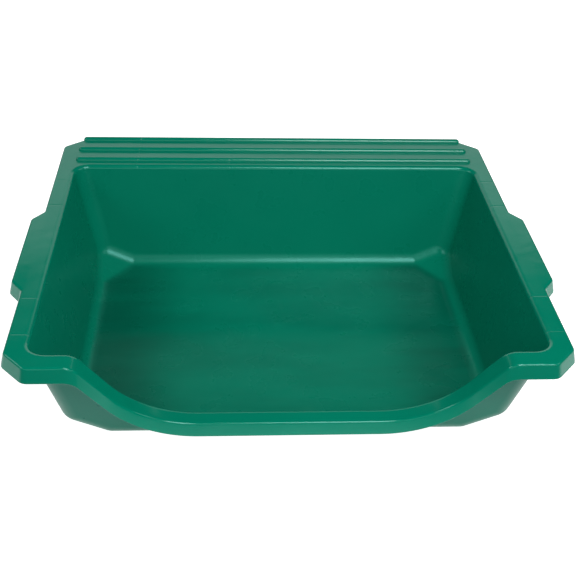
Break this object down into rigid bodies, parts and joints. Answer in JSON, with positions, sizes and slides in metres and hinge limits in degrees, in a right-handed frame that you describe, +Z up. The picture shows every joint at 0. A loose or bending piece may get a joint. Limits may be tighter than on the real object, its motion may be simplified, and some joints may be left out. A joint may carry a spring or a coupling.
{
  "type": "potting tray",
  "caption": "Wide green plastic potting tray: sloping basin, ribbed rear ledge, side grips and a deeply dipped front lip for sweeping soil in and out.",
  "frame": {"origin": "on the table, under the middle of the tray's outer box", "axes": "+X to the right over the two grips, +Y towards the ribbed rear ledge, +Z up"},
  "size_m": [0.612, 0.5168, 0.1415],
  "materials": {
    "basin_floor": "semi-gloss green polypropylene, lightly scuffed by soil and tools",
    "basin_wall": "semi-gloss green polypropylene",
    "rim": "semi-gloss green polypropylene",
    "ledge_rib": "semi-gloss green polypropylene",
    "gusset": "semi-gloss green polypropylene, as moulded"
  },
  "bodies": {
    "root": {"floor_pan": "basin_floor", "rear_wall": "basin_wall", "left_wall": "basin_wall", "right_wall": "basin_wall", "front_wall": "basin_wall", "rear_left_corner": "basin_wall", "rear_right_corner": "basin_wall", "front_left_corner": "basin_wall", "front_right_corner": "basin_wall", "rear_ledge": "rim", "ledge_rib_rear": "ledge_rib", "ledge_rib_middle": "ledge_rib", "ledge_rib_front": "ledge_rib", "left_rim": "rim", "right_rim": "rim", "left_grip": "rim", "right_grip": "rim", "front_left_deck": "rim", "front_right_deck": "rim", "scoop_lip": "rim", "scoop_skirt": "rim", "rear_skirt": "rim", "left_rear_skirt": "rim", "right_rear_skirt": "rim", "left_grip_skirt": "rim", "right_grip_skirt": "rim", "left_front_skirt": "rim", "right_front_skirt": "rim", "front_left_skirt": "rim", "front_right_skirt": "rim", "ledge_gusset_1": "gusset", "ledge_gusset_2": "gusset", "ledge_gusset_3": "gusset", "ledge_gusset_4": "gusset", "left_gusset_1": "gusset", "left_gusset_2": "gusset", "left_gusset_3": "gusset", "left_gusset_4": "gusset", "right_gusset_1": "gusset", "right_gusset_2": "gusset", "right_gusset_3": "gusset", "right_gusset_4": "gusset", "front_left_gusset": "gusset", "front_right_gusset": "gusset"}
  },
  "joints": []
}
